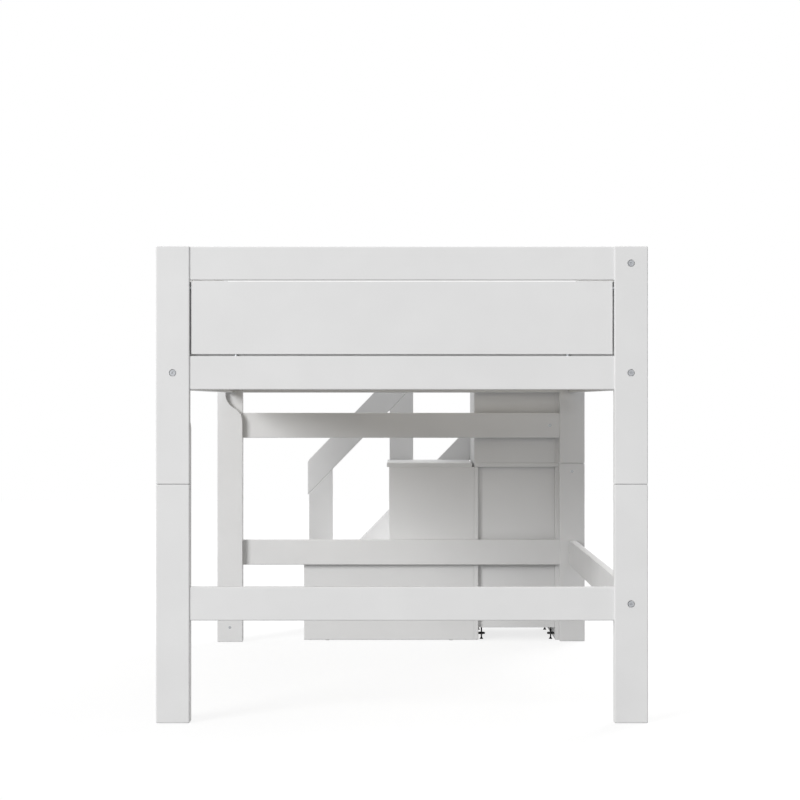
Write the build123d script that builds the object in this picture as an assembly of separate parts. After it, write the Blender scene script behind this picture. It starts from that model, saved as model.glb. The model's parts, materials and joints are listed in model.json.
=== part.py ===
from build123d import *
import os
from math import atan, cos

os.makedirs("parts", exist_ok=True)

# A loft bed of solid white boards, with a flight of box steps across its far end.
# Millimetres. X runs across the bed, Y along it from the near end to the steps, Z up.
# The origin is on the floor, under the middle of the whole object.

# Mattress, and the room left round it
mattress_width = 1200.0
mattress_length = 2000.0
mattress_side_play = 3.0
mattress_end_play = 2.0

# Boards of the bed
post_width = 90.0
post_depth = 33.0
rail_height = 90.0
rail_thickness = 24.0
edge_round = 3.0
end_round = 2.0
largest_round_share = 0.4

# Heights of the bed
leg_height = 641.0
leg_slot_height = 1.2
leg_slot_depth = 5.0
bed_height = 1280.0
top_rail_drop = 1.0
low_rail_centre = 320.0
cross_rail_centre = 777.0
bed_rail_centre = 940.0

# Stiffener boards behind the two left posts
stiffener_thickness = 24.0
tongue_width = 30.0
notch_height = 100.0
notch_drop = 5.0

# Guard panels between the top rail and the bed rail
guard_thickness = 18.0
guard_end_gap = 4.0
guard_bottom_gap = 5.0
guard_top_gap = 2.0
guard_relief_depth = 2.0
guard_relief_inset = 97.0
guard_edge_round = 1.5
guard_lip_thickness = 3.0
guard_pin_radius = 5.0
guard_pin_bite = 15.0
guard_pin_drop = 19.0
guard_pin_inset = 120.0

# Slatted base
slat_width = 70.0
slat_thickness = 18.0
slat_count = 17
slat_side_play = 1.5
ledger_width = 24.0
ledger_height = 30.0
ledger_rise = 12.0
ledger_screw_count = 5

# Bolts and cross nuts
bolt_head_radius = 8.0
bolt_head_thickness = 4.0
bolt_head_sink = 1.0
bolt_seat_clearance = 1.8
bolt_shank_radius = 4.0
bolt_socket_width = 6.0
bolt_socket_depth = 3.0
nut_radius = 6.0
nut_inset = 35.0
nut_floor = 4.0
nut_sink = 0.5

# Dowels and pins
dowel_radius = 5.0
dowel_length = 60.0
dowel_spacing = 44.0
leg_pin_radius = 8.0
leg_pin_length = 100.0
step_dowel_radius = 4.0
step_dowel_length = 24.0
step_dowel_inset = 60.0

# Wood screws
screw_head_radius = 5.0
screw_head_thickness = 3.0
screw_shank_radius = 2.5
screw_socket_radius = 2.5
screw_socket_depth = 1.5
screw_sink = 0.5
screw_bite = 20.0
panel_screw_bite = 10.0
foot_screw_height = 52.0
pin_lock_drop = 29.0

# Flight of box steps
step_run = 307.5
step_rise = 320.5
step_count = 3
stair_depth = 450.0
stair_behind_leg = 1.0
landing_post_gap = 2.0
board_thickness = 15.0
tread_nosing = 8.0
tread_end_gap = 7.0
step_floor_gap = 2.0
step_edge_round = 2.0

# Cabinet under the landing, on its levelling feet
cabinet_floor_height = 44.5
cabinet_back_recess = 18.0
foot_side_inset = 28.0
foot_back_inset = 18.0
foot_front_inset = 73.0
foot_stem_radius = 3.0
foot_stem_end = 2.0
foot_clearance = 0.2
foot_pad_radius = 7.0
foot_pad_height = 6.0
foot_flange_radius = 11.5
foot_flange_thickness = 5.0
foot_flange_height = 19.0
glide_radius = 7.0
glide_inset = 84.0

# Banister on the outer side of the steps
banister_width = 90.0
banister_thickness = 24.0
banister_start_height = 512.5
mitre_past_landing = 43.0
handrail_overhang = 5.0
handrail_nose_round = 27.0
lower_guard_drop = 375.0

# Places worked out from the sizes
rail_setback = (post_width - rail_thickness) / 2
bed_half_width = mattress_width / 2 + mattress_side_play + rail_thickness + rail_setback
bed_length = mattress_length + 2 * (mattress_end_play + post_depth)
overall_length = bed_length + stair_depth + banister_thickness
near_face = -overall_length / 2
far_face = near_face + bed_length
near_inner = near_face + post_depth
far_inner = far_face - post_depth
inner_half_width = bed_half_width - post_width
side_rail_outer = bed_half_width - rail_setback
side_rail_inner = side_rail_outer - rail_thickness
side_rail_middle = (side_rail_outer + side_rail_inner) / 2
near_rail_middle = near_face + post_depth / 2
far_rail_middle = far_face - post_depth / 2
far_rail_back = far_rail_middle + rail_thickness / 2
top_rail_centre = bed_height - top_rail_drop - rail_height / 2
bed_rail_bottom = bed_rail_centre - rail_height / 2
bed_rail_top = bed_rail_centre + rail_height / 2
guard_bottom = bed_rail_top + guard_bottom_gap
guard_top = top_rail_centre - rail_height / 2 - guard_top_gap
guard_pin_height = guard_top - guard_pin_drop
ledger_bottom = bed_rail_bottom + ledger_rise
ledger_top = ledger_bottom + ledger_height

stair_near = far_face
stair_far = stair_near + stair_depth
stair_inner_near = stair_near + board_thickness
stair_inner_far = stair_far - board_thickness
stair_right = inner_half_width + stair_behind_leg
landing_right = inner_half_width - landing_post_gap
cabinet_left = stair_right - step_run
step_2_left = cabinet_left - step_run
step_1_left = step_2_left - step_run
tread_tops = [(index + 1) * step_rise for index in range(step_count)]
tread_undersides = [top - board_thickness for top in tread_tops]
cabinet_left_inner = cabinet_left + board_thickness
cabinet_right_inner = stair_right - board_thickness
cabinet_back_near = stair_near + cabinet_back_recess
cabinet_back_far = cabinet_back_near + board_thickness

entry_left = cabinet_left - post_width
landing_rail_bottom = bed_height - banister_width
mitre_x = cabinet_left + mitre_past_landing
banister_slope = (landing_rail_bottom - banister_start_height) / (mitre_x - step_1_left)
sloping_height = banister_width / cos(atan(banister_slope))
last_post_left = stair_right - banister_width

parts = {}


def block(x_range, y_range, z_range):
    """A plain box between two corners."""
    ranges = (x_range, y_range, z_range)
    return Pos(*[sum(pair) / 2 for pair in ranges]) * Box(*[high - low for low, high in ranges])


def limited_round(radius, *sizes):
    """A fillet no larger than its board can take."""
    return min(radius, largest_round_share * min(sizes))


def post(x_from, y_from, z_range, depth=post_depth):
    """An upright board with every edge rounded."""
    shape = block((x_from, x_from + post_width), (y_from, y_from + depth), z_range)
    return fillet(shape.edges(), limited_round(edge_round, post_width, depth))


def rail(axis, x_range, y_range, z_range, radius=edge_round):
    """A lying board with its long edges rounded and its ends square."""
    shape = block(x_range, y_range, z_range)
    across = {Axis.X: y_range[1] - y_range[0], Axis.Y: x_range[1] - x_range[0]}[axis]
    return fillet(shape.edges().filter_by(axis), limited_round(radius, across, z_range[1] - z_range[0]))


def board(x_range, y_range, z_range):
    """A flat board of the steps, with every edge slightly rounded."""
    shape = block(x_range, y_range, z_range)
    return fillet(shape.edges(), limited_round(step_edge_round, board_thickness))


def rod(start, direction, radius, length):
    """A round bar from a point, along a direction."""
    return extrude(Plane(origin=start, z_dir=direction) * Circle(radius), amount=length)


def upright_sheet(outline, y_from, thickness):
    """A board cut to an outline in the X-Z plane."""
    plane = Plane(origin=(0, y_from + thickness, 0), x_dir=(1, 0, 0), z_dir=(0, -1, 0))
    face = make_face(plane * outline)
    return extrude(face, amount=thickness, dir=(0, -1, 0))


def around(centre, height):
    return centre - height / 2, centre + height / 2


def mirrored(side, low, high):
    """A range on the right side of the bed, or its mirror image on the left."""
    return tuple(sorted((side * low, side * high)))


# Legs below the joint line, posts above it
corners = {
    "near_left": (-bed_half_width, near_face),
    "near_right": (inner_half_width, near_face),
    "far_left": (-bed_half_width, far_inner),
    "far_right": (inner_half_width, far_inner),
}
for name, (corner_x, corner_y) in corners.items():
    slot_range = (leg_height - leg_slot_height, leg_height)
    joint_core = block((corner_x + leg_slot_depth, corner_x + post_width - leg_slot_depth),
                       (corner_y + leg_slot_depth, corner_y + post_depth - leg_slot_depth), slot_range)
    slot = block((corner_x, corner_x + post_width), (corner_y, corner_y + post_depth), slot_range) - joint_core
    parts["leg_" + name] = post(corner_x, corner_y, (0, leg_height)) - slot
    parts["post_" + name] = post(corner_x, corner_y, (leg_height, bed_height))


def stiffener(y_from):
    """Full width up to the notch, then a narrow tongue that clears the side rails."""
    left = -bed_half_width
    tongue = left + tongue_width
    right = left + post_width
    notch_top = bed_rail_bottom - notch_drop
    notch_bottom = notch_top - notch_height
    middle = ((tongue + right) / 2, (notch_bottom + notch_top) / 2)
    lower_curve = TangentArc((right, notch_bottom), middle, tangent=(0, 1))
    upper_curve = TangentArc((tongue, notch_top), middle, tangent=(0, -1))
    edges = Polyline((tongue, notch_top), (tongue, bed_height), (left, bed_height), (left, 0),
                     (right, 0), (right, notch_bottom))
    shape = upright_sheet(Curve() + [lower_curve, upper_curve, edges], y_from, stiffener_thickness)
    return fillet(shape.edges(), limited_round(end_round, stiffener_thickness))


parts["stiffener_near"] = stiffener(near_inner)
parts["stiffener_far"] = stiffener(far_inner - stiffener_thickness)


def end_rail(y_middle, centre, x_to=inner_half_width):
    """A rail between the posts of one end."""
    return rail(Axis.X, (-inner_half_width, x_to), around(y_middle, rail_thickness),
                around(centre, rail_height))


def side_rail(side, centre):
    """A rail between the posts of one long side."""
    return rail(Axis.Y, mirrored(side, side_rail_inner, side_rail_outer), (near_inner, far_inner),
                around(centre, rail_height))


parts["near_top_rail"] = end_rail(near_rail_middle, top_rail_centre)
parts["near_bed_rail"] = end_rail(near_rail_middle, bed_rail_centre)
parts["near_low_rail"] = end_rail(near_rail_middle, low_rail_centre)
parts["far_top_rail"] = end_rail(far_rail_middle, top_rail_centre, entry_left)
parts["far_bed_rail"] = end_rail(far_rail_middle, bed_rail_centre)
parts["far_cross_rail"] = end_rail(far_rail_middle, cross_rail_centre)
parts["far_low_rail"] = end_rail(far_rail_middle, low_rail_centre)
parts["entry_post"] = post(entry_left, far_rail_middle - rail_thickness / 2, (bed_rail_top, bed_height),
                           rail_thickness)
parts["right_top_rail"] = side_rail(1, top_rail_centre)
parts["right_bed_rail"] = side_rail(1, bed_rail_centre)
parts["right_low_rail"] = side_rail(1, low_rail_centre)
parts["left_top_rail"] = side_rail(-1, top_rail_centre)
parts["left_bed_rail"] = side_rail(-1, bed_rail_centre)


def guard(length):
    """A guard panel along X, with a shallow relief in its top edge between two ears.

    A thin lip on its +Y face closes the gaps to the uprights and the bed rail from behind.
    """
    height = guard_top - guard_bottom
    shape = Pos(0, 0, height / 2) * Box(length, guard_thickness, height)
    shape = fillet(shape.edges(), limited_round(guard_edge_round, guard_thickness))
    lip = block((-length / 2 - guard_end_gap, length / 2 + guard_end_gap),
                (guard_thickness / 2 - guard_lip_thickness, guard_thickness / 2),
                (-guard_bottom_gap, height - guard_relief_depth))
    relief = Box(length - 2 * guard_relief_inset, guard_thickness, 2 * guard_relief_depth)
    return Pos(0, 0, guard_bottom) * (shape + lip - Pos(0, 0, height) * relief)


near_guard_half = inner_half_width - guard_end_gap
far_guard_from = -inner_half_width + guard_end_gap
far_guard_to = entry_left - guard_end_gap
side_guard_length = far_inner - near_inner - 2 * guard_end_gap
parts["near_guard_panel"] = Pos(0, near_rail_middle) * guard(2 * near_guard_half)
parts["far_guard_panel"] = Pos((far_guard_from + far_guard_to) / 2, far_rail_middle) * Rot(0, 0, 180) * guard(
    far_guard_to - far_guard_from)
side_guard_middle = (near_inner + far_inner) / 2
parts["side_guard_panels"] = Compound(children=[
    Pos(side * side_rail_middle, side_guard_middle) * Rot(0, 0, 90 * side) * guard(side_guard_length)
    for side in (-1, 1)
])

# Slatted base: two ledgers on the side rails, and slats across them
ledger_inner = side_rail_inner - ledger_width
parts["slat_ledgers"] = Compound(children=[
    rail(Axis.Y, mirrored(side, ledger_inner, side_rail_inner), (near_inner, far_inner),
         (ledger_bottom, ledger_top), end_round)
    for side in (-1, 1)
])
slat_half = side_rail_inner - slat_side_play
slat_pitch = (far_inner - near_inner) / slat_count
parts["slats"] = Compound(children=[
    rail(Axis.X, (-slat_half, slat_half), around(near_inner + (index + 0.5) * slat_pitch, slat_width),
         (ledger_top, ledger_top + slat_thickness), end_round)
    for index in range(slat_count)
])

# Base unit: a stepped panel on each side carries the first two treads
stepped_outline = Polyline(
    (step_1_left, step_floor_gap),
    (cabinet_left, step_floor_gap),
    (cabinet_left, tread_undersides[1]),
    (step_2_left, tread_undersides[1]),
    (step_2_left, tread_undersides[0]),
    (step_1_left, tread_undersides[0]),
    close=True,
)
for name, y_from in (("base_bed_side_panel", stair_near), ("base_outer_panel", stair_inner_far)):
    stepped_panel = upright_sheet(stepped_outline, y_from, board_thickness)
    parts[name] = fillet(stepped_panel.edges(), limited_round(step_edge_round, board_thickness))
base_inside = (stair_inner_near, stair_inner_far)
full_depth = (stair_near, stair_far)
parts["riser_1"] = board((step_1_left, step_1_left + board_thickness), base_inside,
                         (step_floor_gap, tread_undersides[0]))
parts["riser_2"] = board((step_2_left, step_2_left + board_thickness), base_inside,
                         (step_floor_gap, tread_undersides[1]))
parts["tread_1"] = board((step_1_left - tread_nosing, step_2_left), full_depth,
                         (tread_undersides[0], tread_tops[0]))
parts["tread_2"] = board((step_2_left - tread_nosing, cabinet_left - tread_end_gap), full_depth,
                         (tread_undersides[1], tread_tops[1]))

# Cabinet under the landing, open on its outer side
cabinet_inside = (cabinet_left_inner, cabinet_right_inner)
cabinet_floor_top = cabinet_floor_height + board_thickness
parts["cabinet_left_side"] = board((cabinet_left, cabinet_left_inner), full_depth,
                                   (step_floor_gap, tread_undersides[1]))
parts["cabinet_right_side"] = board((cabinet_right_inner, stair_right), full_depth,
                                    (step_floor_gap, tread_undersides[1]))
parts["cabinet_top"] = board((cabinet_left, stair_right), full_depth, (tread_undersides[1], tread_tops[1]))
parts["cabinet_back"] = board(cabinet_inside, (cabinet_back_near, cabinet_back_far),
                              (cabinet_floor_height, tread_undersides[1]))
parts["cabinet_floor"] = board(cabinet_inside, (cabinet_back_far, stair_far),
                               (cabinet_floor_height, cabinet_floor_top))

# Box on the cabinet, with the landing on top
landing_range = (tread_tops[1], tread_undersides[2])
parts["landing_bed_side_panel"] = board((cabinet_left, cabinet_right_inner), (stair_near, stair_inner_near),
                                        landing_range)
parts["landing_outer_panel"] = board((cabinet_left, cabinet_right_inner), (stair_inner_far, stair_far),
                                     landing_range)
parts["riser_3"] = board((cabinet_left, cabinet_left_inner), base_inside, landing_range)
parts["landing_right_end"] = board((cabinet_right_inner, stair_right), full_depth, landing_range)
parts["landing_board"] = board((cabinet_left - tread_nosing, landing_right), (far_rail_back, stair_far),
                               (tread_undersides[2], tread_tops[2]))


def levelling_foot(x, y):
    """A stem with a flange to turn it by, on a small cone that stands on the floor."""
    stem_top = cabinet_floor_top - foot_stem_end
    stem = rod((x, y, foot_pad_height), (0, 0, 1), foot_stem_radius, stem_top - foot_pad_height)
    pad = Pos(x, y, foot_pad_height / 2) * Cone(foot_pad_radius, foot_stem_radius, foot_pad_height)
    flange = rod((x, y, foot_flange_height), (0, 0, 1), foot_flange_radius, foot_flange_thickness)
    return stem + pad + flange


foot_columns = {"left": cabinet_left + foot_side_inset, "right": stair_right - foot_side_inset}
foot_rows = {"bed_side": cabinet_back_far + foot_back_inset, "outer": stair_far - foot_front_inset}
for row, y in foot_rows.items():
    for column, x in foot_columns.items():
        parts[f"levelling_foot_{row}_{column}"] = levelling_foot(x, y)
        parts["cabinet_floor"] -= rod((x, y, cabinet_floor_height), (0, 0, 1),
                                      foot_stem_radius + foot_clearance, board_thickness)

# Glides under the two stepped panels
parts["glides"] = Compound(children=[
    rod((x, y, 0), (0, 0, 1), glide_radius, step_floor_gap)
    for x in (step_1_left + glide_inset, cabinet_left - glide_inset)
    for y in (stair_near + board_thickness / 2, stair_far - board_thickness / 2)
])


def slope_height(x):
    """Height of the handrail's lower edge at a place along the flight."""
    return banister_start_height + banister_slope * (x - step_1_left)


def slope_place(height):
    return step_1_left + (height - banister_start_height) / banister_slope


def rounded_faces(shape):
    """Round the edges of a banister board's two broad faces."""
    return fillet(shape.faces().filter_by(Axis.Y).edges(), limited_round(edge_round, banister_thickness))


handrail_left = step_1_left - handrail_overhang
mitre_low = (mitre_x, landing_rail_bottom)
mitre_high = (slope_place(bed_height - sloping_height), bed_height)
handrail = upright_sheet(Polyline(
    (handrail_left, slope_height(handrail_left)),
    mitre_low,
    mitre_high,
    (handrail_left, slope_height(handrail_left) + sloping_height),
    close=True,
), stair_far, banister_thickness)
handrail_nose = handrail.edges().filter_by(Axis.Y).sort_by(Axis.X)[:2].sort_by(Axis.Z)[-1]
parts["handrail"] = rounded_faces(fillet(handrail_nose, handrail_nose_round))
parts["landing_rail"] = rounded_faces(upright_sheet(Polyline(
    mitre_low,
    (stair_right, landing_rail_bottom),
    (stair_right, bed_height),
    mitre_high,
    close=True,
), stair_far, banister_thickness))


def banister_post(x_from, z_from, *top):
    """An upright whose top is cut to the rail above it."""
    outline = Polyline((x_from, z_from), (x_from + banister_width, z_from), *top, close=True)
    return rounded_faces(upright_sheet(outline, stair_far, banister_thickness))


def sloping_top(x_from):
    x_to = x_from + banister_width
    return (x_to, slope_height(x_to)), (x_from, slope_height(x_from))


parts["banister_post_1"] = banister_post(step_1_left, step_floor_gap, *sloping_top(step_1_left))
parts["banister_post_2"] = banister_post(step_2_left, step_floor_gap, *sloping_top(step_2_left))
parts["landing_posts"] = Compound(children=[
    banister_post(cabinet_left, tread_tops[1], (cabinet_left + banister_width, landing_rail_bottom),
                  mitre_low, (cabinet_left, slope_height(cabinet_left))),
    banister_post(last_post_left, tread_tops[1], (stair_right, landing_rail_bottom),
                  (last_post_left, landing_rail_bottom)),
])


def lower_guard(x_from, x_to):
    """A sloping board between two uprights, parallel to the handrail."""
    low_top, high_top = [slope_height(x) - lower_guard_drop for x in (x_from, x_to)]
    shape = upright_sheet(Polyline(
        (x_from, low_top - sloping_height),
        (x_to, high_top - sloping_height),
        (x_to, high_top),
        (x_from, low_top),
        close=True,
    ), stair_far, banister_thickness)
    long_edges = shape.edges().filter_by(lambda edge: edge.length > sloping_height + banister_thickness)
    return fillet(long_edges, limited_round(edge_round, banister_thickness))


guard_bays = [(step_1_left + banister_width, step_2_left), (step_2_left + banister_width, cabinet_left)]
parts["lower_guards"] = Compound(children=[lower_guard(*bay) for bay in guard_bays])


def cut(names, tool):
    """Make the same hole in each of the named parts."""
    for name in names:
        parts[name] -= tool


bolts = []
nuts = []


def connector(start, direction, through, post_name, rail_name, nut_side):
    """A socket bolt through an upright into a round cross nut in the end of a rail."""
    start = Vector(*start)
    inwards = Vector(*direction)
    nut_outwards = Vector(*nut_side)
    head_from = start + inwards * bolt_head_sink
    seat_depth = bolt_head_sink + bolt_head_thickness
    head = rod(head_from, direction, bolt_head_radius, bolt_head_thickness)
    socket_sketch = RegularPolygon(bolt_socket_width / 2, 6, major_radius=False)
    socket = extrude(Plane(origin=head_from, z_dir=direction) * socket_sketch, amount=bolt_socket_depth)
    shank = rod(start + inwards * seat_depth, direction, bolt_shank_radius,
                through + nut_inset + nut_radius - seat_depth)
    seat = rod(start, direction, bolt_head_radius + bolt_seat_clearance, seat_depth)
    nut_length = rail_thickness - nut_floor - nut_sink
    nut_mouth = start + inwards * (through + nut_inset) + nut_outwards * (rail_thickness / 2)
    nut = rod(nut_mouth - nut_outwards * nut_sink, -nut_outwards, nut_radius, nut_length)
    cut([post_name], seat + shank)
    cut([rail_name], shank + rod(nut_mouth, -nut_outwards, nut_radius, nut_length + nut_sink))
    bolts.append(head - socket + shank)
    nuts.append(nut - shank)


side_bolts = [
    ("right", 1, "top_rail", top_rail_centre, "post"),
    ("right", 1, "bed_rail", bed_rail_centre, "post"),
    ("right", 1, "low_rail", low_rail_centre, "leg"),
    ("left", -1, "bed_rail", bed_rail_centre, "post"),
]
for side_name, side, rail_name, height, upright in side_bolts:
    for end_name, y, towards in (("near", near_face, 1), ("far", far_face, -1)):
        connector((side * side_rail_middle, y, height), (0, towards, 0), post_depth,
                  f"{upright}_{end_name}_{side_name}", f"{side_name}_{rail_name}", (-side, 0, 0))
connector((bed_half_width, far_rail_middle, cross_rail_centre), (-1, 0, 0), post_width,
          "post_far_right", "far_cross_rail", (0, -1, 0))
parts["connector_bolts"] = Compound(children=bolts)
parts["cross_nuts"] = Compound(children=nuts)

dowels = []


def dowel(centre, direction, names, radius=dowel_radius, length=dowel_length):
    """A wooden dowel half in one board and half in the next."""
    pin = rod(Vector(*centre) - Vector(*direction) * (length / 2), direction, radius, length)
    cut(names, pin)
    dowels.append(pin)


# Dowels between the end rails and their posts
end_joints = [
    ("near", near_rail_middle, "near_top_rail", top_rail_centre, "post", (-1, 1)),
    ("near", near_rail_middle, "near_bed_rail", bed_rail_centre, "post", (-1, 1)),
    ("near", near_rail_middle, "near_low_rail", low_rail_centre, "leg", (-1, 1)),
    ("far", far_rail_middle, "far_top_rail", top_rail_centre, "post", (-1,)),
    ("far", far_rail_middle, "far_bed_rail", bed_rail_centre, "post", (-1, 1)),
    ("far", far_rail_middle, "far_cross_rail", cross_rail_centre, "post", (-1,)),
    ("far", far_rail_middle, "far_low_rail", low_rail_centre, "leg", (-1, 1)),
]
side_names = {-1: "left", 1: "right"}
for end_name, y, rail_name, height, upright, sides in end_joints:
    for side in sides:
        for offset in around(0, dowel_spacing):
            dowel((side * inner_half_width, y, height + offset), (1, 0, 0),
                  [rail_name, f"{upright}_{end_name}_{side_names[side]}"])
for offset in around(0, dowel_spacing):
    dowel((entry_left, far_rail_middle, top_rail_centre + offset), (1, 0, 0), ["far_top_rail", "entry_post"])
    dowel((entry_left + post_width / 2 + offset, far_rail_middle, bed_rail_top), (0, 0, 1),
          ["far_bed_rail", "entry_post"])

# Long pins between legs and posts
for name, (corner_x, corner_y) in corners.items():
    dowel((corner_x + post_width / 2, corner_y + post_depth / 2, leg_height), (0, 0, 1),
          ["leg_" + name, "post_" + name], leg_pin_radius, leg_pin_length)

# Dowels of the banister
banister_middle = stair_far + banister_thickness / 2
for name, x_from in (("banister_post_1", step_1_left), ("banister_post_2", step_2_left)):
    x = x_from + banister_width / 2
    dowel((x, banister_middle, slope_height(x)), (0, 0, 1), [name, "handrail"])
dowel((last_post_left + banister_width / 2, banister_middle, landing_rail_bottom), (0, 0, 1),
      ["landing_posts", "landing_rail"])
dowel((cabinet_left + (mitre_past_landing + banister_width) / 2, banister_middle, landing_rail_bottom),
      (0, 0, 1), ["landing_posts", "landing_rail"], step_dowel_radius)
dowel(((mitre_low[0] + mitre_high[0]) / 2, banister_middle, (mitre_low[1] + mitre_high[1]) / 2), (1, 0, 0),
      ["handrail", "landing_rail"])
bay_ends = ["banister_post_1", "banister_post_2"], ["banister_post_2", "landing_posts"]
for bay, neighbours in zip(guard_bays, bay_ends):
    for x, neighbour in zip(bay, neighbours):
        middle_height = slope_height(x) - lower_guard_drop - sloping_height / 2
        dowel((x, banister_middle, middle_height), (1, 0, 0), ["lower_guards", neighbour], step_dowel_radius)


def step_dowel(centre, direction, *names):
    """A short dowel between two boards of the steps."""
    dowel(centre, direction, names, step_dowel_radius, step_dowel_length)


# Dowels between the boards of the steps
outer_middle = stair_far - board_thickness / 2
bed_side_middle = stair_near + board_thickness / 2
stepped_sides = {"base_bed_side_panel": bed_side_middle, "base_outer_panel": outer_middle}
for name, y in stepped_sides.items():
    for tread_name, x_from, x_to, z in (
        ("tread_1", step_1_left, step_2_left, tread_undersides[0]),
        ("tread_2", step_2_left, cabinet_left, tread_undersides[1]),
    ):
        step_dowel((x_from + step_dowel_inset, y, z), (0, 0, 1), name, tread_name)
        step_dowel((x_to - step_dowel_inset, y, z), (0, 0, 1), name, tread_name)
for name, riser_name, riser_x in (
    ("base_bed_side_panel", "riser_1", step_1_left),
    ("base_bed_side_panel", "riser_2", step_2_left),
    ("base_outer_panel", "riser_1", step_1_left),
    ("base_outer_panel", "riser_2", step_2_left),
):
    y = stair_inner_near if name == "base_bed_side_panel" else stair_inner_far
    for z in (step_floor_gap + step_dowel_inset, tread_undersides[0] - step_dowel_inset):
        step_dowel((riser_x + board_thickness / 2, y, z), (0, 1, 0), name, riser_name)
for name, x, edge in (("cabinet_left_side", cabinet_left_inner, cabinet_left + board_thickness / 2),
                      ("cabinet_right_side", cabinet_right_inner, stair_right - board_thickness / 2)):
    for y in (stair_near + step_dowel_inset, stair_far - step_dowel_inset):
        step_dowel((edge, y, tread_undersides[1]), (0, 0, 1), name, "cabinet_top")
    for y in (cabinet_back_far + step_dowel_inset, stair_far - step_dowel_inset / 2):
        step_dowel((x, y, cabinet_floor_height + board_thickness / 2), (1, 0, 0), name, "cabinet_floor")
    for z in (cabinet_floor_top + step_dowel_inset, tread_undersides[1] - step_dowel_inset):
        step_dowel((x, cabinet_back_near + board_thickness / 2, z), (1, 0, 0), name, "cabinet_back")
for name, y in (("landing_bed_side_panel", bed_side_middle), ("landing_outer_panel", outer_middle)):
    for x in (cabinet_left + step_dowel_inset, cabinet_right_inner - step_dowel_inset):
        step_dowel((x, y, tread_tops[1]), (0, 0, 1), name, "cabinet_top")
        step_dowel((x, y, tread_undersides[2]), (0, 0, 1), name, "landing_board")
for name, y in (("landing_bed_side_panel", stair_inner_near), ("landing_outer_panel", stair_inner_far)):
    step_dowel((cabinet_left + board_thickness / 2, y, sum(landing_range) / 2), (0, 1, 0), name, "riser_3")
    joint_y = y + board_thickness / 2 * (-1 if name == "landing_bed_side_panel" else 1)
    step_dowel((cabinet_right_inner, joint_y, sum(landing_range) / 2), (1, 0, 0), name, "landing_right_end")
parts["dowels"] = Compound(children=dowels)

screws = []


def screw(start, direction, through, names, bite=screw_bite):
    """A countersunk wood screw through one board, biting into the next."""
    start = Vector(*start)
    inwards = Vector(*direction)
    head_from = start + inwards * screw_sink
    seat_depth = screw_sink + screw_head_thickness
    head = rod(head_from, direction, screw_head_radius, screw_head_thickness)
    socket = extrude(Plane(origin=head_from, z_dir=direction) * RegularPolygon(screw_socket_radius, 6),
                     amount=screw_socket_depth)
    shank = rod(start + inwards * seat_depth, direction, screw_shank_radius, through + bite - seat_depth)
    cut(names, rod(start, direction, screw_head_radius, seat_depth) + shank)
    screws.append(head - socket + shank)


# Screws of the stiffeners, and the locking screws of the right-hand leg pins
left_post_middle = -side_rail_middle
tongue_middle = -bed_half_width + tongue_width / 2
for end_name, inner_face, towards in (("near", near_inner, -1), ("far", far_inner, 1)):
    stiffener_name = f"stiffener_{end_name}"
    y = inner_face - towards * stiffener_thickness
    screw((left_post_middle, y, foot_screw_height), (0, towards, 0), stiffener_thickness,
          [stiffener_name, f"leg_{end_name}_left"])
    screw((tongue_middle, y, guard_bottom), (0, towards, 0), stiffener_thickness,
          [stiffener_name, f"post_{end_name}_left"])
    screw((-bed_half_width, y + towards * stiffener_thickness / 2, top_rail_centre), (1, 0, 0), rail_setback,
          [stiffener_name, "left_top_rail"])
    screw((side_rail_middle, inner_face, leg_height - pin_lock_drop), (0, towards, 0), 0,
          [f"leg_{end_name}_right", "dowels"])

# Screws of the ledgers
ledger_span = far_inner - near_inner
for index in range(ledger_screw_count):
    y = near_inner + (index + 0.5) * ledger_span / ledger_screw_count
    for side, side_name in side_names.items():
        screw((side * ledger_inner, y, (ledger_bottom + ledger_top) / 2), (side, 0, 0), ledger_width,
              ["slat_ledgers", f"{side_name}_bed_rail"])

# Screws from the bed rail into the landing, and from the cabinet into the stepped panels
for x in (cabinet_left + banister_width, last_post_left):
    screw((x, far_rail_middle - rail_thickness / 2, (tread_undersides[2] + tread_tops[2]) / 2), (0, 1, 0),
          rail_thickness, ["far_bed_rail", "landing_board"])
for panel_name, y in stepped_sides.items():
    for z in (tread_undersides[0] / 2, (tread_tops[0] + tread_undersides[1]) / 2):
        screw((cabinet_left_inner, y, z), (-1, 0, 0), board_thickness, ["cabinet_left_side", panel_name])

# Screws from the banister posts into the steps
post_screws = [
    (step_1_left, (step_floor_gap + tread_undersides[0]) / 2, "banister_post_1", "base_outer_panel"),
    (step_2_left, (tread_tops[0] + tread_undersides[1]) / 2, "banister_post_2", "base_outer_panel"),
    (cabinet_left, sum(landing_range) / 2, "landing_posts", "landing_outer_panel"),
    (last_post_left, sum(landing_range) / 2, "landing_posts", "landing_outer_panel"),
]
for x_from, height, post_name, panel_name in post_screws:
    for offset in around(0, 2 * dowel_spacing):
        screw((x_from + banister_width / 2, stair_far + banister_thickness, height + offset), (0, -1, 0),
              banister_thickness, [post_name, panel_name], panel_screw_bite)
parts["wood_screws"] = Compound(children=screws)

pins = []


def guard_pin(edge, direction, gap, names):
    """A steel pin across the gap between a guard panel and what holds it."""
    pin = rod(Vector(*edge) - Vector(*direction) * guard_pin_bite, direction, guard_pin_radius,
              2 * guard_pin_bite + gap)
    cut(names, pin)
    pins.append(pin)


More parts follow.
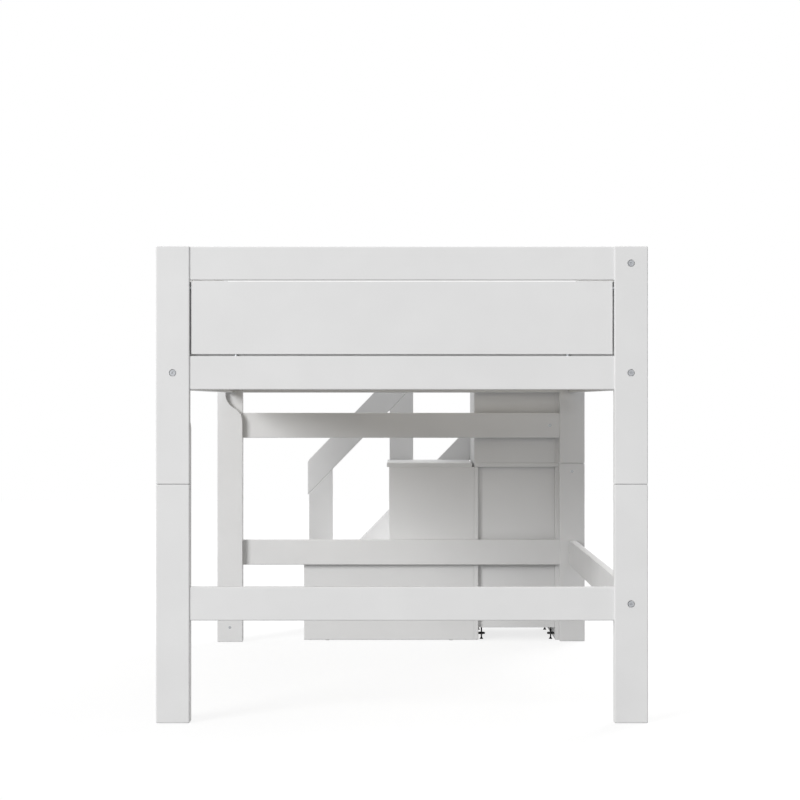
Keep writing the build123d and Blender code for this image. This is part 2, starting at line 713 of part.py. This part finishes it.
# Each guard panel has a pin into the upright at each end, and two down into the bed rail
end_guards = [
    ("near_guard_panel", near_rail_middle, -near_guard_half, near_guard_half,
     "post_near_left", "post_near_right", "near_bed_rail"),
    ("far_guard_panel", far_rail_middle, far_guard_from, far_guard_to,
     "post_far_left", "entry_post", "far_bed_rail"),
]
for name, y, x_from, x_to, left_name, right_name, rail_name in end_guards:
    guard_pin((x_from, y, guard_pin_height), (-1, 0, 0), guard_end_gap, [name, left_name])
    guard_pin((x_to, y, guard_pin_height), (1, 0, 0), guard_end_gap, [name, right_name])
    for x in (x_from + guard_pin_inset, x_to - guard_pin_inset):
        guard_pin((x, y, guard_bottom), (0, 0, -1), guard_bottom_gap, [name, rail_name])
for side, side_name in side_names.items():
    x = side * side_rail_middle
    for end_name, towards in (("near", -1), ("far", 1)):
        y = side_guard_middle + towards * side_guard_length / 2
        guard_pin((x, y, guard_pin_height), (0, towards, 0), guard_end_gap,
                  ["side_guard_panels", f"post_{end_name}_{side_name}"])
        guard_pin((x, y - towards * guard_pin_inset, guard_bottom), (0, 0, -1), guard_bottom_gap,
                  ["side_guard_panels", f"{side_name}_bed_rail"])
parts["guard_pins"] = Compound(children=pins)

for name, shape in parts.items():
    export_step(shape, f"parts/{name}.step")
print(len(parts), "nodes")
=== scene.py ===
import json
from math import pi, radians

import bpy
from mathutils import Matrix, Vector


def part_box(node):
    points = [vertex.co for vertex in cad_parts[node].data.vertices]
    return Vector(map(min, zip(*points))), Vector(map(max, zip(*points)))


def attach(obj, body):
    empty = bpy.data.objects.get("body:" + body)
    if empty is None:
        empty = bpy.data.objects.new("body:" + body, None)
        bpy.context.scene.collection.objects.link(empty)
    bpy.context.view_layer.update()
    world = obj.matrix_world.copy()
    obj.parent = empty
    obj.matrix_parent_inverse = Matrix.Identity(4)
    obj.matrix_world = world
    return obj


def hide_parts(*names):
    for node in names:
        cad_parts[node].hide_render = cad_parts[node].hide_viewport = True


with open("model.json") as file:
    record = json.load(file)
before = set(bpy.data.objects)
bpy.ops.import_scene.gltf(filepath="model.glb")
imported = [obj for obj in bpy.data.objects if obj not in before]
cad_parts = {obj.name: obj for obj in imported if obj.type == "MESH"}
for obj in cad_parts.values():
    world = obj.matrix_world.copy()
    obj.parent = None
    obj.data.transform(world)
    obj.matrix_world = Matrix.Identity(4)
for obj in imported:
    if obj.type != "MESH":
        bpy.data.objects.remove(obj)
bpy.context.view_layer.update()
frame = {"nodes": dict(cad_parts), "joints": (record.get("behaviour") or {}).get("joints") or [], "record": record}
nodes = frame["nodes"]
scene = bpy.context.scene
scene.view_settings.view_transform = "Standard"
print("frame loaded:", len(nodes), "nodes")


def deselectAll():
    if bpy.context.object and bpy.context.object.mode != "OBJECT":
        bpy.ops.object.mode_set(mode="OBJECT")
    bpy.ops.object.select_all(action="DESELECT")


def activate(piece):
    deselectAll()
    piece.select_set(True)
    bpy.context.view_layer.objects.active = piece


def linear(hexColour):
    channels = [int(hexColour[i:i + 2], 16) / 255 for i in (1, 3, 5)]
    return [c / 12.92 if c <= 0.04045 else ((c + 0.055) / 1.055) ** 2.4 for c in channels] + [1.0]


def addNode(tree, kind, settings=None, values=None, links=None):
    # one node, its menu settings, its socket values and what feeds its sockets
    node = tree.nodes.new(kind)
    for name, value in (settings or {}).items():
        setattr(node, name, value)
    for socket, value in (values or {}).items():
        node.inputs[socket].default_value = value
    for socket, source in (links or {}).items():
        tree.links.new(source, node.inputs[socket])
    return node


def perMillimetre(size):
    # noise scale for a pattern whose features are this many millimetres wide
    return 1000 / size


def stretchAlong(axis, amount):
    # squeezes the coordinates along one axis, which draws the pattern out along it
    return [1 / amount if index == axis else 1.0 for index in range(3)]


# Each finish: "colours" are mixed by the tone pattern; "texture" feeds roughness and bump, and is the tone
# pattern where none is given; widths are in millimetres across the grain and "stretch" is along it

# Lacquered pine: sprayed and rubbed down, so the grain only just telegraphs through the satin coat
lacquer = {"colours": ["#E1E1E1", "#E4E4E4"], "roughness": 0.42, "roughnessRange": 0.10,
           "tone": {"width": 180, "stretch": 1, "detail": 2.0, "rough": 0.55, "twist": 0.0},
           "texture": {"width": 2.5, "stretch": 40, "detail": 5.0, "rough": 0.6, "twist": 0.3},
           "bumpStrength": 0.10, "bumpDepth": 0.0002}
# Coated particle board: pressed film with a fine pearl texture and no grain
coatedBoard = {"colours": ["#DFDFDF", "#E2E2E2"], "roughness": 0.50, "roughnessRange": 0.06,
               "tone": {"width": 260, "stretch": 1, "detail": 2.0, "rough": 0.55, "twist": 0.0},
               "texture": {"width": 1.6, "stretch": 1, "detail": 2.0, "rough": 0.55, "twist": 0.0},
               "bumpStrength": 0.08, "bumpDepth": 0.0001}
# Planed spruce: pale early wood with darker late wood lines along each slat, and a few knots
spruce = {"colours": ["#EAE3D5", "#DDD3C0"], "roughness": 0.62,
          "tone": {"width": 6, "stretch": 22, "detail": 3.0, "rough": 0.5, "twist": 1.2},
          "texture": {"width": 0.8, "stretch": 60, "detail": 4.0, "rough": 0.6, "twist": 0.0},
          "knots": {"colour": "#B9A078", "spacing": 320, "stretch": 2, "core": 0.02, "rim": 0.05},
          "bumpStrength": 0.25, "bumpDepth": 0.0003}
# Turned beech dowels: short pinkish flecks
beech = {"colours": ["#CFA67D", "#B58A60"], "roughness": 0.65,
         "tone": {"width": 0.9, "stretch": 8, "detail": 4.0, "rough": 0.55, "twist": 0.0},
         "bumpStrength": 0.2, "bumpDepth": 0.0002}
# Bright zinc plate on steel: metal with a faint cloudy finish
zinc = {"colours": ["#9C9EA2", "#B6B8BB"], "roughness": 0.42, "roughnessRange": 0.15, "metallic": 1.0,
        "tone": {"width": 3, "stretch": 1, "detail": 3.0, "rough": 0.55, "twist": 0.0}}
# Black chromated steel: dark, slightly brown, worn matt
blackSteel = {"colours": ["#262627", "#3A3A3B"], "roughness": 0.45, "roughnessRange": 0.15, "metallic": 0.6,
              "tone": {"width": 2, "stretch": 1, "detail": 3.0, "rough": 0.55, "twist": 0.0}}
# Moulded nylon glides: pale grey with a spark-eroded texture
nylon = {"colours": ["#BDBDBB", "#C9C9C7"], "roughness": 0.55, "roughnessRange": 0.10,
         "tone": {"width": 0.8, "stretch": 1, "detail": 3.0, "rough": 0.55, "twist": 0.0}}
rampEnds = (0.35, 0.65)  # noise values at which the first and the second colour are reached


def makeFinish(name, finish, axis=2):
    # axis is the one that the grain follows
    material = bpy.data.materials.new(name)
    material.use_nodes = True
    tree = material.node_tree
    shader = tree.nodes["Principled BSDF"]
    shader.inputs["Roughness"].default_value = finish["roughness"]
    shader.inputs["Metallic"].default_value = finish.get("metallic", 0.0)
    place = addNode(tree, "ShaderNodeTexCoord").outputs["Object"]
    patterns = {}
    for part in ("tone", "texture"):
        if part in finish:
            pattern = finish[part]
            squeezed = addNode(tree, "ShaderNodeMapping", links={"Vector": place},
                               values={"Scale": stretchAlong(axis, pattern["stretch"])})
            noise = addNode(tree, "ShaderNodeTexNoise", links={"Vector": squeezed.outputs[0]},
                            values={"Scale": perMillimetre(pattern["width"]), "Detail": pattern["detail"],
                                    "Roughness": pattern["rough"], "Distortion": pattern["twist"]})
            patterns[part] = noise.outputs["Fac"]
    texture = patterns.get("texture", patterns["tone"])
    ramp = addNode(tree, "ShaderNodeValToRGB", links={"Fac": patterns["tone"]})
    for stop, position, colour in zip(ramp.color_ramp.elements, rampEnds, finish["colours"]):
        stop.color = linear(colour)
        stop.position = position
    colour = ramp.outputs["Color"]
    if "knots" in finish:
        knots = finish["knots"]
        squeezed = addNode(tree, "ShaderNodeMapping", links={"Vector": place},
                           values={"Scale": stretchAlong(axis, knots["stretch"])})
        cells = addNode(tree, "ShaderNodeTexVoronoi", links={"Vector": squeezed.outputs[0]},
                        values={"Scale": perMillimetre(knots["spacing"])})
        mask = addNode(tree, "ShaderNodeMapRange", links={"Value": cells.outputs["Distance"]},
                       values={"From Min": knots["core"], "From Max": knots["rim"], "To Min": 1.0, "To Max": 0.0})
        # sockets 0, 6 and 7 of a colour Mix are its factor, A and B
        colour = addNode(tree, "ShaderNodeMix", {"data_type": "RGBA"}, {7: linear(knots["colour"])},
                         {0: mask.outputs["Result"], 6: colour}).outputs[2]
    tree.links.new(colour, shader.inputs["Base Color"])
    if "roughnessRange" in finish:
        half = finish["roughnessRange"] / 2
        gloss = addNode(tree, "ShaderNodeMapRange", links={"Value": texture},
                        values={"To Min": finish["roughness"] - half, "To Max": finish["roughness"] + half})
        tree.links.new(gloss.outputs["Result"], shader.inputs["Roughness"])
    if "bumpStrength" in finish:
        bump = addNode(tree, "ShaderNodeBump", links={"Height": texture},
                       values={"Strength": finish["bumpStrength"], "Distance": finish["bumpDepth"]})
        tree.links.new(bump.outputs["Normal"], shader.inputs["Normal"])
    return material


lacquers = [makeFinish("lacqueredPine" + "XYZ"[axis], lacquer, axis) for axis in range(3)]
spruces = {axis: makeFinish("planedSpruce" + "XYZ"[axis], spruce, axis) for axis in (0, 1)}
plainMaterials = {
    "beech": makeFinish("turnedBeech", beech),
    "zinc_steel": makeFinish("zincPlate", zinc),
    "blackened_steel": makeFinish("blackSteel", blackSteel),
    "glide_plastic": makeFinish("mouldedNylon", nylon),
    "white_board": makeFinish("coatedBoard", coatedBoard),
}
print("finishes made")


def longestAxis(name):
    # the grain of a board runs along its longest side
    low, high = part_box(name)
    sizes = [high[i] - low[i] for i in range(3)]
    return sizes.index(max(sizes))


def materialFor(name, slotName):
    if slotName == "white_lacquer":
        # the landing's posts are one node that is wider than it is high
        return lacquers[2] if name == "landing_posts" else lacquers[longestAxis(name)]
    if slotName == "spruce":
        # slats lie across the bed and their ledgers along it
        return spruces[0] if name == "slats" else spruces[1]
    return plainMaterials[slotName]


for entry in frame["record"]["subparts"]:
    node = nodes[entry["node"]]
    node.data.materials.clear()
    node.data.materials.append(materialFor(entry["node"], entry["material_slot"]))
print("finishes given to the boards")


# Levelling feet: rolled thread, turning flange with a raised hub and a flared pad, in place of the plain ones
foot = {"threadRadius": 0.0030, "coreRadius": 0.0024, "pitch": 0.0010, "stemFrom": 0.005, "stemTo": 0.0575,
        "flangeRadius": 0.0115, "flangeFrom": 0.019, "flangeThickness": 0.005, "flangeBevel": 0.0010,
        "hubInset": 0.0060, "hubRise": 0.0008, "padRadius": 0.0070, "padNeck": 0.0030, "padHeight": 0.006,
        "padBevel": 0.0006, "sides": 32, "coreSides": 24, "threadSteps": 16, "smoothUnder": 35}


def editAll(*steps):
    # run edit-mode steps on every face of the active piece
    bpy.ops.object.mode_set(mode="EDIT")
    for step in steps:
        bpy.ops.mesh.select_all(action="SELECT")
        step()
    bpy.ops.object.mode_set(mode="OBJECT")


def threadedStem(x, y):
    # a triangular ridge wound round a plain core by the Screw modifier
    height = foot["stemTo"] - foot["stemFrom"]
    deselectAll()
    bpy.ops.mesh.primitive_cylinder_add(vertices=foot["coreSides"], radius=foot["coreRadius"], depth=height,
                                        location=(x, y, foot["stemFrom"] + height / 2))
    core = bpy.context.object
    ridgeRadius = foot["pitch"] / 3 ** 0.5  # circle round a triangle whose sides are one pitch long
    deselectAll()
    bpy.ops.mesh.primitive_circle_add(vertices=3, radius=ridgeRadius, rotation=(pi / 2, pi / 2, 0),
                                      location=(foot["threadRadius"] - ridgeRadius, 0,
                                                foot["stemFrom"] + foot["pitch"] / 2))
    ridge = bpy.context.object
    bpy.ops.object.transform_apply(location=True, rotation=True, scale=True)
    screw = ridge.modifiers.new("thread", "SCREW")
    screw.angle = 2 * pi
    screw.screw_offset = foot["pitch"]
    screw.iterations = int(height / foot["pitch"]) - 1
    screw.steps = screw.render_steps = foot["threadSteps"]
    activate(ridge)
    bpy.ops.object.modifier_apply(modifier=screw.name)
    editAll(lambda: bpy.ops.mesh.remove_doubles(threshold=0.00001),
            lambda: bpy.ops.mesh.fill_holes(sides=0),
            lambda: bpy.ops.mesh.normals_make_consistent(inside=False))
    ridge.location = (x, y, 0)
    return core, ridge


def bevelled(piece, width):
    bevel = piece.modifiers.new("soft edges", "BEVEL")
    bevel.width = width
    bevel.segments = 2
    bevel.limit_method = "ANGLE"
    activate(piece)
    bpy.ops.object.modifier_apply(modifier=bevel.name)
    return piece


def levellingFoot(name, body, x, y):
    deselectAll()
    bpy.ops.mesh.primitive_cylinder_add(
        vertices=foot["sides"], radius=foot["flangeRadius"], depth=foot["flangeThickness"],
        location=(x, y, foot["flangeFrom"] + foot["flangeThickness"] / 2))
    flange = bpy.context.object
    bpy.ops.object.mode_set(mode="EDIT")
    bpy.ops.mesh.select_all(action="DESELECT")
    bpy.ops.object.mode_set(mode="OBJECT")
    for face in flange.data.polygons:
        face.select = abs(face.normal.z) > 0.9  # the two flat sides
    bpy.ops.object.mode_set(mode="EDIT")
    bpy.ops.mesh.inset(thickness=foot["hubInset"], depth=foot["hubRise"], use_individual=True)
    bpy.ops.object.mode_set(mode="OBJECT")
    bevelled(flange, foot["flangeBevel"])
    deselectAll()
    bpy.ops.mesh.primitive_cone_add(
        vertices=foot["sides"], radius1=foot["padRadius"], radius2=foot["padNeck"], depth=foot["padHeight"],
        location=(x, y, foot["padHeight"] / 2))
    pad = bevelled(bpy.context.object, foot["padBevel"])
    deselectAll()
    core, ridge = threadedStem(x, y)
    deselectAll()
    for piece in (flange, pad, core, ridge):
        piece.select_set(True)
    bpy.context.view_layer.objects.active = flange
    bpy.ops.object.join()
    flange.name = name + "_threaded"
    bpy.ops.object.transform_apply(location=True, rotation=True, scale=True)
    bpy.ops.object.shade_smooth_by_angle(angle=radians(foot["smoothUnder"]))
    flange.data.materials.clear()
    flange.data.materials.append(plainMaterials["blackened_steel"])
    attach(flange, body)
    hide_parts(name)


for joint in frame["joints"]:
    child = joint["child"]
    levellingFoot("levelling_" + child, child, joint["pos_m"][0], joint["pos_m"][1])
print("levelling feet threaded")


# Studio: a pale floor whose diffuse share keeps a faint shadow, and soft light from the front and above
studio = {"floorSize": 24, "floorColour": "#9A9A9A", "floorShadow": 0.65, "floorGlow": 2.26,
          "worldColour": "#FFFFFF", "worldStrength": 0.51}
lamps = [
    {"name": "keySoft", "place": (-18.5, -24.0, 11.0), "aim": (0, 0, 0.6), "size": 12.0, "watts": 6600},
    {"name": "rearSoft", "place": (9.0, 15.0, 7.0), "aim": (0, 0, 0.6), "size": 8.0, "watts": 1300},
    {"name": "topSoft", "place": (0.5, 1.5, 8.0), "aim": (0, 0, 0.6), "size": 6.0, "watts": 120},
]


def buildFloor():
    deselectAll()
    bpy.ops.mesh.primitive_plane_add(size=studio["floorSize"], location=(0, 0, 0))
    floor = bpy.context.object
    floor.name = "studioFloor"
    material = bpy.data.materials.new("paleFloor")
    material.use_nodes = True
    tree = material.node_tree
    shader = tree.nodes["Principled BSDF"]
    shader.inputs["Base Color"].default_value = linear(studio["floorColour"])
    shader.inputs["Roughness"].default_value = 0.9
    paths = addNode(tree, "ShaderNodeLightPath")
    seen = addNode(tree, "ShaderNodeMath", {"operation": "MAXIMUM"},
                   links={0: paths.outputs["Is Camera Ray"], 1: paths.outputs["Is Glossy Ray"]})
    share = addNode(tree, "ShaderNodeMath", {"operation": "MULTIPLY"},
                    {1: 1 - studio["floorShadow"]}, {0: seen.outputs[0]})
    glow = addNode(tree, "ShaderNodeEmission", values={"Color": (1, 1, 1, 1), "Strength": studio["floorGlow"]})
    mix = addNode(tree, "ShaderNodeMixShader",
                  links={0: share.outputs[0], 1: shader.outputs[0], 2: glow.outputs[0]})
    tree.links.new(mix.outputs[0], tree.nodes["Material Output"].inputs["Surface"])
    floor.data.materials.append(material)


def buildWorld():
    world = bpy.data.worlds.new("studioWorld")
    scene.world = world
    world.use_nodes = True
    tree = world.node_tree
    paths = addNode(tree, "ShaderNodeLightPath")
    seen = addNode(tree, "ShaderNodeMath", {"operation": "MAXIMUM"},
                   links={0: paths.outputs["Is Camera Ray"], 1: paths.outputs["Is Glossy Ray"]})
    seen = addNode(tree, "ShaderNodeMath", {"operation": "MAXIMUM"},
                   links={0: seen.outputs[0], 1: paths.outputs["Is Transmission Ray"]})
    lit = tree.nodes["Background"]
    lit.inputs["Color"].default_value = linear(studio["worldColour"])
    lit.inputs["Strength"].default_value = studio["worldStrength"]
    shown = addNode(tree, "ShaderNodeBackground", values={"Color": (1, 1, 1, 1), "Strength": 1.0})
    mix = addNode(tree, "ShaderNodeMixShader",
                  links={0: seen.outputs[0], 1: lit.outputs[0], 2: shown.outputs[0]})
    tree.links.new(mix.outputs[0], tree.nodes["World Output"].inputs["Surface"])


def buildLamp(settings):
    bpy.ops.object.light_add(type="AREA", location=settings["place"])
    lamp = bpy.context.object
    lamp.name = settings["name"]
    lamp.data.shape = "SQUARE"
    lamp.data.size = settings["size"]
    lamp.data.energy = settings["watts"]
    direction = Vector(settings["aim"]) - Vector(settings["place"])
    lamp.rotation_euler = direction.to_track_quat("-Z", "Y").to_euler()


# Camera straight at the near end, fitted to the photograph's near and far frames
viewpoint = {"lens": 100, "sensor": 36, "place": (-0.0067, -7.232, 0.8639), "shiftX": 0.00075, "shiftY": 0.0015}


def buildCamera():
    bpy.ops.object.camera_add(location=viewpoint["place"], rotation=(pi / 2, 0, 0))
    camera = bpy.context.object
    camera.data.lens = viewpoint["lens"]
    camera.data.sensor_width = viewpoint["sensor"]
    camera.data.shift_x = viewpoint["shiftX"]
    camera.data.shift_y = viewpoint["shiftY"]
    scene.camera = camera


buildFloor()
buildWorld()
for settings in lamps:
    buildLamp(settings)
buildCamera()
print("studio ready")
